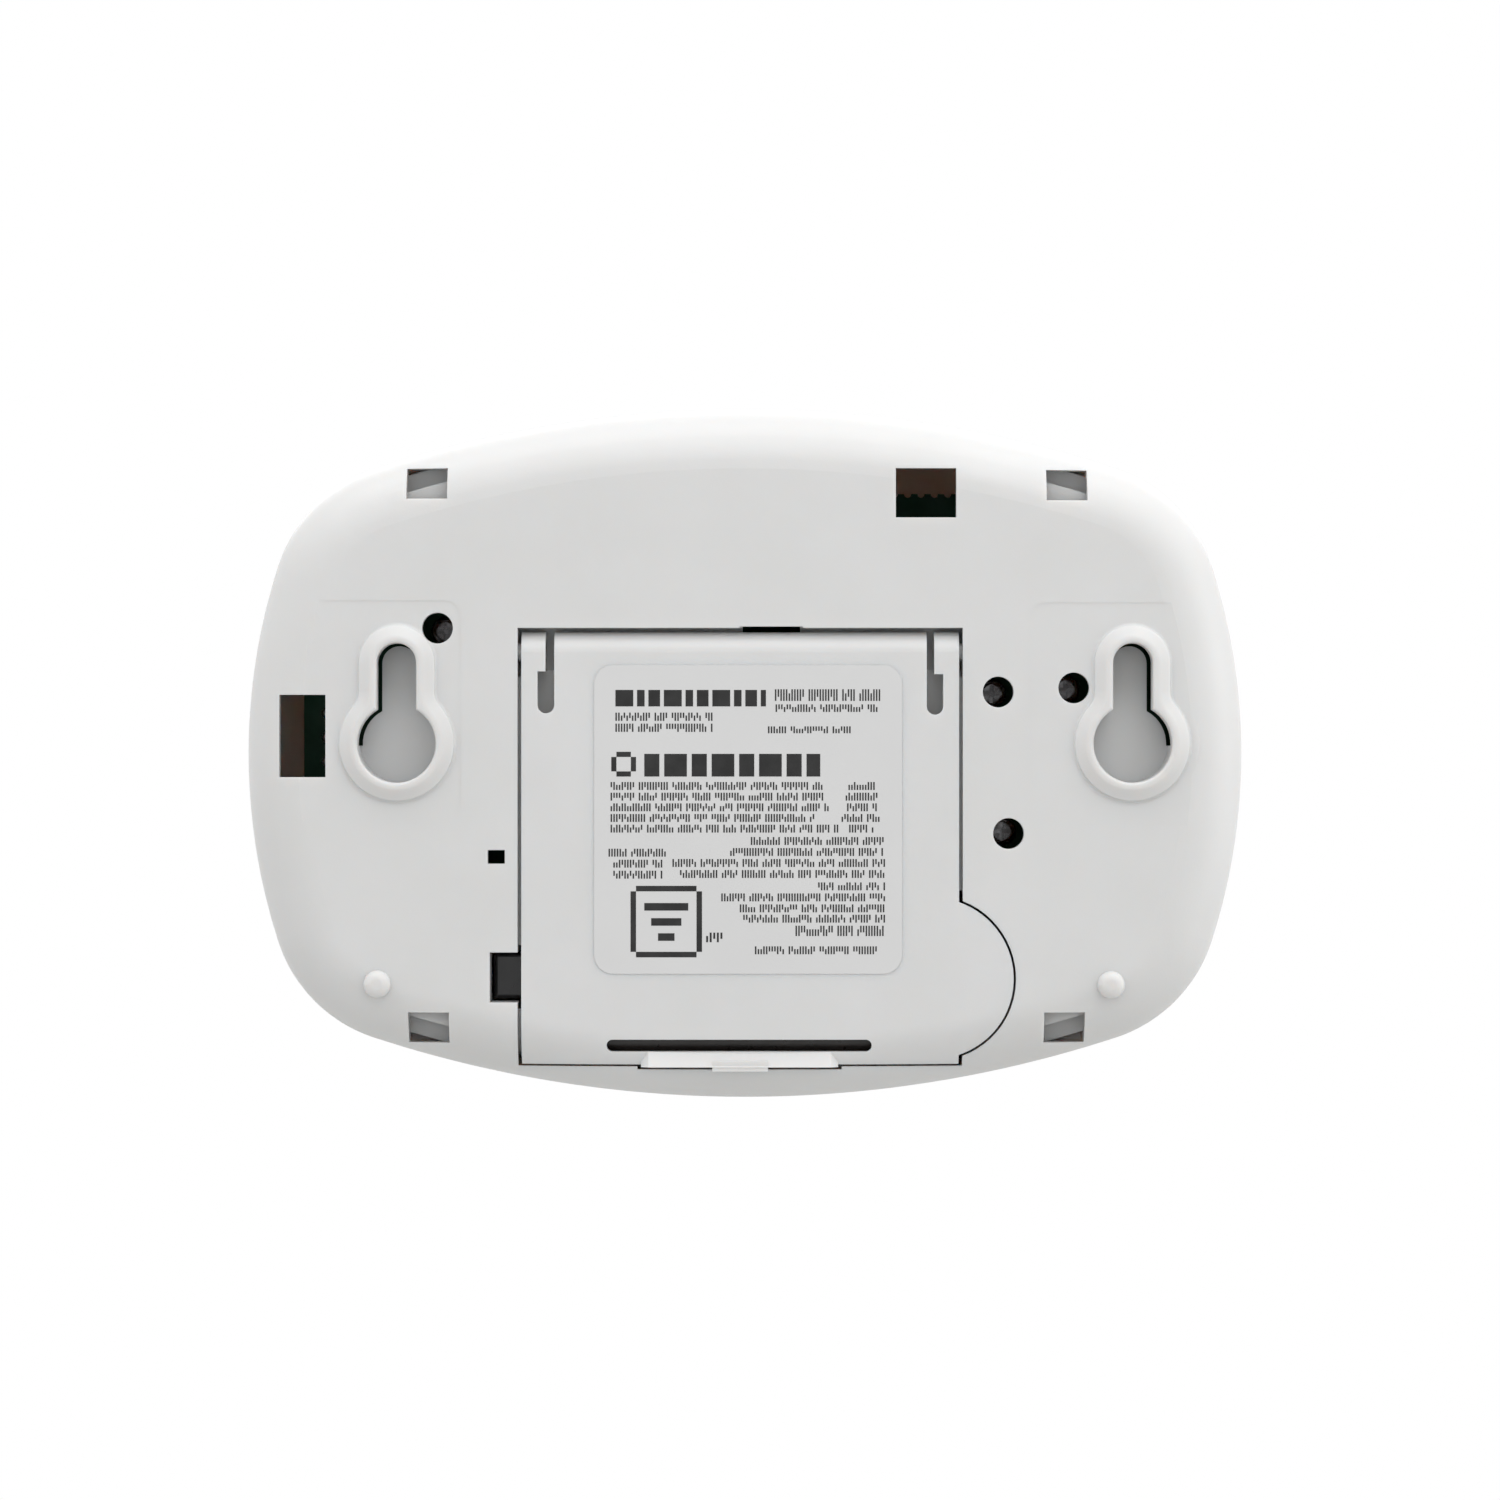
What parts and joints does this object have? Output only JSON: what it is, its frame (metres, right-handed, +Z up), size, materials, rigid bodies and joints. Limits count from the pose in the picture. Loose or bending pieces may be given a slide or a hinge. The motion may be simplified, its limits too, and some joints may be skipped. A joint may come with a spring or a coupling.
{
  "type": "carbon monoxide detector",
  "caption": "Wall-hung carbon monoxide detector with keyhole hangers, a hinged battery door, a press-to-test button, a sounder grille and indicator lamps.",
  "frame": {"origin": "on the wall plane, midway between the two keyhole entry holes", "axes": "+Z up, +Y out of the back towards the wall, -Y towards the room, +X to the right of a person facing the front"},
  "size_m": [0.146, 0.038, 0.101],
  "materials": {
    "housing_white": "fine satin moulded ABS",
    "cover_white": "fine satin moulded ABS",
    "door_white": "fine satin moulded ABS",
    "label_film": "matt printed film",
    "battery_wrap": "dark satin battery wrap",
    "battery_nickel": "nickel-plated steel",
    "connector_black": "glossy black moulding",
    "contact_nickel": "nickel-plated spring steel",
    "board_green": "green solder mask",
    "screw_black": "black-zinc steel",
    "horn_black": "black moulding",
    "disc_brass": "thin brass sheet",
    "gasket_foam": "closed-cell foam",
    "contact_gold": "plated spring pins",
    "sensor_shell": "dark moulded cell body",
    "sensor_white": "white inlet cap",
    "pin_tin": "tinned pins",
    "button_white": "satin moulded ABS",
    "switch_black": "black moulding",
    "plunger_ivory": "ivory moulding",
    "lens_clear": "clear moulded lens",
    "chip_epoxy": "moulded epoxy",
    "chip_lead": "tinned legs",
    "driver_epoxy": "moulded epoxy",
    "driver_lead": "tinned legs",
    "capacitor_sleeve": "dark printed sleeve",
    "winding_copper": "enamelled copper winding",
    "resistor_black": "thick-film chips",
    "capacitor_tan": "ceramic chips",
    "crystal_can": "drawn metal can",
    "lamp_red": "tinted epoxy lamp",
    "lamp_amber": "tinted epoxy lamp",
    "lamp_green": "tinted epoxy lamp"
  },
  "bodies": {
    "housing": {"front_housing": "housing_white", "back_cover": "cover_white", "battery_case": "battery_wrap", "battery_terminals": "battery_nickel", "battery_connector": "connector_black", "battery_contacts": "contact_nickel", "main_pcb": "board_green", "pcb_screws": "screw_black", "horn_housing": "horn_black", "piezo_disc": "disc_brass", "horn_gasket": "gasket_foam", "horn_contacts": "contact_gold", "sensor_can": "sensor_shell", "sensor_cap": "sensor_white", "sensor_pins": "pin_tin", "switch_body": "switch_black", "indicator_lenses": "lens_clear", "microcontroller": "chip_epoxy", "microcontroller_pins": "chip_lead", "driver_chip": "driver_epoxy", "driver_chip_pins": "driver_lead", "electrolytic_capacitors": "capacitor_sleeve", "horn_transformer": "winding_copper", "chip_resistors": "resistor_black", "chip_capacitors": "capacitor_tan", "crystal": "crystal_can", "led_red": "lamp_red", "led_amber": "lamp_amber", "led_green": "lamp_green"},
    "door": {"battery_door": "door_white", "rating_label": "label_film"},
    "button": {"test_button": "button_white"},
    "plunger": {"switch_plunger": "plunger_ivory"}
  },
  "joints": [
    {"name": "door_hinge", "type": "hinge", "parent": "housing", "child": "door", "pos_m": [0.0036, -0.00455, 0.0133], "axis": [1, 0, 0], "range_deg": [0, 95]},
    {"name": "button_press", "type": "slide", "parent": "housing", "child": "button", "axis": [0, 1, 0], "range_m": [0, 0.0007], "stiffness_N_per_m": 1500},
    {"name": "plunger_press", "type": "slide", "parent": "housing", "child": "plunger", "axis": [0, 1, 0], "range_m": [0, 0.0003]}
  ],
  "couplings": [
    {"joint": "plunger_press", "follows": "button_press", "ratio": 0.357}
  ]
}
